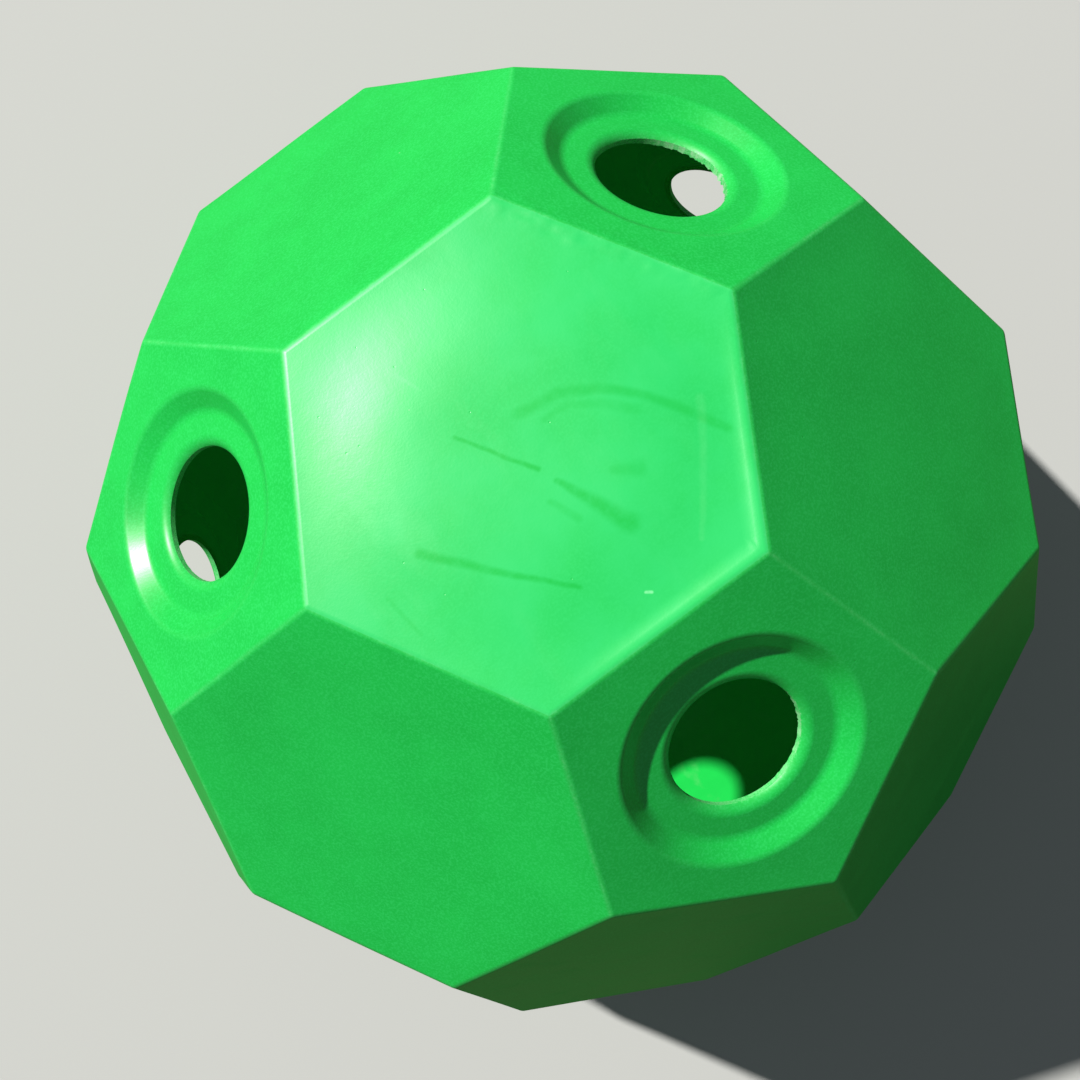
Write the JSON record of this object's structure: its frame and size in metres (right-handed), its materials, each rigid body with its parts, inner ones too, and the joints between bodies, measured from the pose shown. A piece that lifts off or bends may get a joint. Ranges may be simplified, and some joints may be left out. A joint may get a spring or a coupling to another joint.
{
  "type": "slow feeder hay ball",
  "caption": "Hollow faceted plastic ball that feeds hay to horses through round recessed holes in its pentagon faces.",
  "frame": {"origin": "the ball's centre", "axes": "+Z out through the middle of the top hexagon, -Z out through the hexagon it rests on, -Y towards the crown pentagon numbered 1"},
  "size_m": [0.4274, 0.4308, 0.4],
  "materials": {
    "moulded_plastic": "satin, with a fine moulded grain"
  },
  "bodies": {
    "root": {"hexagon_wall_base_1": "moulded_plastic", "hexagon_wall_base_2": "moulded_plastic", "hexagon_wall_base_3": "moulded_plastic", "hexagon_wall_bottom": "moulded_plastic", "hexagon_wall_crown_1": "moulded_plastic", "hexagon_wall_crown_2": "moulded_plastic", "hexagon_wall_crown_3": "moulded_plastic", "hexagon_wall_lower_1": "moulded_plastic", "hexagon_wall_lower_2": "moulded_plastic", "hexagon_wall_lower_3": "moulded_plastic", "hexagon_wall_lower_4": "moulded_plastic", "hexagon_wall_lower_5": "moulded_plastic", "hexagon_wall_lower_6": "moulded_plastic", "hexagon_wall_top": "moulded_plastic", "hexagon_wall_upper_1": "moulded_plastic", "hexagon_wall_upper_2": "moulded_plastic", "hexagon_wall_upper_3": "moulded_plastic", "hexagon_wall_upper_4": "moulded_plastic", "hexagon_wall_upper_5": "moulded_plastic", "hexagon_wall_upper_6": "moulded_plastic", "pentagon_wall_base_1": "moulded_plastic", "pentagon_wall_base_2": "moulded_plastic", "pentagon_wall_base_3": "moulded_plastic", "pentagon_wall_crown_1": "moulded_plastic", "pentagon_wall_crown_2": "moulded_plastic", "pentagon_wall_crown_3": "moulded_plastic", "pentagon_wall_lower_1": "moulded_plastic", "pentagon_wall_lower_2": "moulded_plastic", "pentagon_wall_lower_3": "moulded_plastic", "pentagon_wall_upper_1": "moulded_plastic", "pentagon_wall_upper_2": "moulded_plastic", "pentagon_wall_upper_3": "moulded_plastic"}
  },
  "joints": []
}
